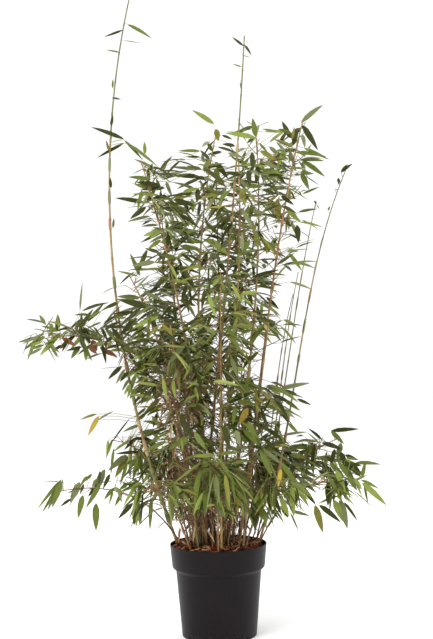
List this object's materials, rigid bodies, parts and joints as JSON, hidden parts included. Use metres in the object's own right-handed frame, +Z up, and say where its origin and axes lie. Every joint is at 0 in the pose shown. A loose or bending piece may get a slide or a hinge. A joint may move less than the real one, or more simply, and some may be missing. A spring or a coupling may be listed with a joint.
{
  "type": "potted bamboo",
  "caption": "Clump of tall leaning bamboo canes with masses of narrow leaves in tiers, rooted in a round tapered nursery pot with a wide collar.",
  "frame": {"origin": "centre of the pot's flat underside", "axes": "+Z up through the pot, +X to the right and +Y away from the viewer as the plant is seen in the picture"},
  "size_m": [0.8862, 0.6702, 1.5413],
  "materials": {
    "pot": "black injection-moulded polypropylene, satin",
    "soil": "red-brown bark mulch over damp peat compost",
    "cane": "smooth olive culms with dry tan sheaths at the nodes",
    "leaf": "narrow green leaves, slightly waxy above and paler below"
  },
  "bodies": {
    "root": {"pot": "pot", "soil": "soil", "cane_tall_left": "cane", "cane_tall_middle": "cane", "cane_tall_right": "cane", "cane_shoot_outer": "cane", "cane_shoot_middle": "cane", "cane_shoot_inner": "cane", "cane_upper_left": "cane", "cane_upper_front_left": "cane", "cane_upper_middle": "cane", "cane_upper_front": "cane", "cane_upper_back_right": "cane", "cane_upper_right": "cane", "cane_upper_back": "cane", "cane_upper_back_left": "cane", "cane_arch_left": "cane", "cane_low_left_outer": "cane", "cane_low_left_upper": "cane", "cane_low_right_outer": "cane", "cane_low_right_upper": "cane", "cane_middle_1": "cane", "cane_middle_2": "cane", "cane_middle_3": "cane", "cane_middle_4": "cane", "cane_middle_5": "cane", "cane_low_1": "cane", "cane_low_2": "cane", "cane_low_3": "cane", "cane_low_4": "cane", "cane_low_5": "cane", "cane_low_6": "cane", "leaves_tall_left": "leaf", "leaves_tall_middle": "leaf", "leaves_tall_right": "leaf", "leaves_upper_left": "leaf", "leaves_upper_front_left": "leaf", "leaves_upper_middle": "leaf", "leaves_upper_front": "leaf", "leaves_upper_back_right": "leaf", "leaves_upper_right": "leaf", "leaves_upper_back": "leaf", "leaves_upper_back_left": "leaf", "leaves_arch_left": "leaf", "leaves_low_left_outer": "leaf", "leaves_low_left_upper": "leaf", "leaves_low_right_outer": "leaf", "leaves_low_right_upper": "leaf", "leaves_middle_1": "leaf", "leaves_middle_2": "leaf", "leaves_middle_3": "leaf", "leaves_middle_4": "leaf", "leaves_middle_5": "leaf", "leaves_low_1": "leaf", "leaves_low_2": "leaf", "leaves_low_3": "leaf", "leaves_low_4": "leaf", "leaves_low_5": "leaf", "leaves_low_6": "leaf"}
  },
  "joints": []
}
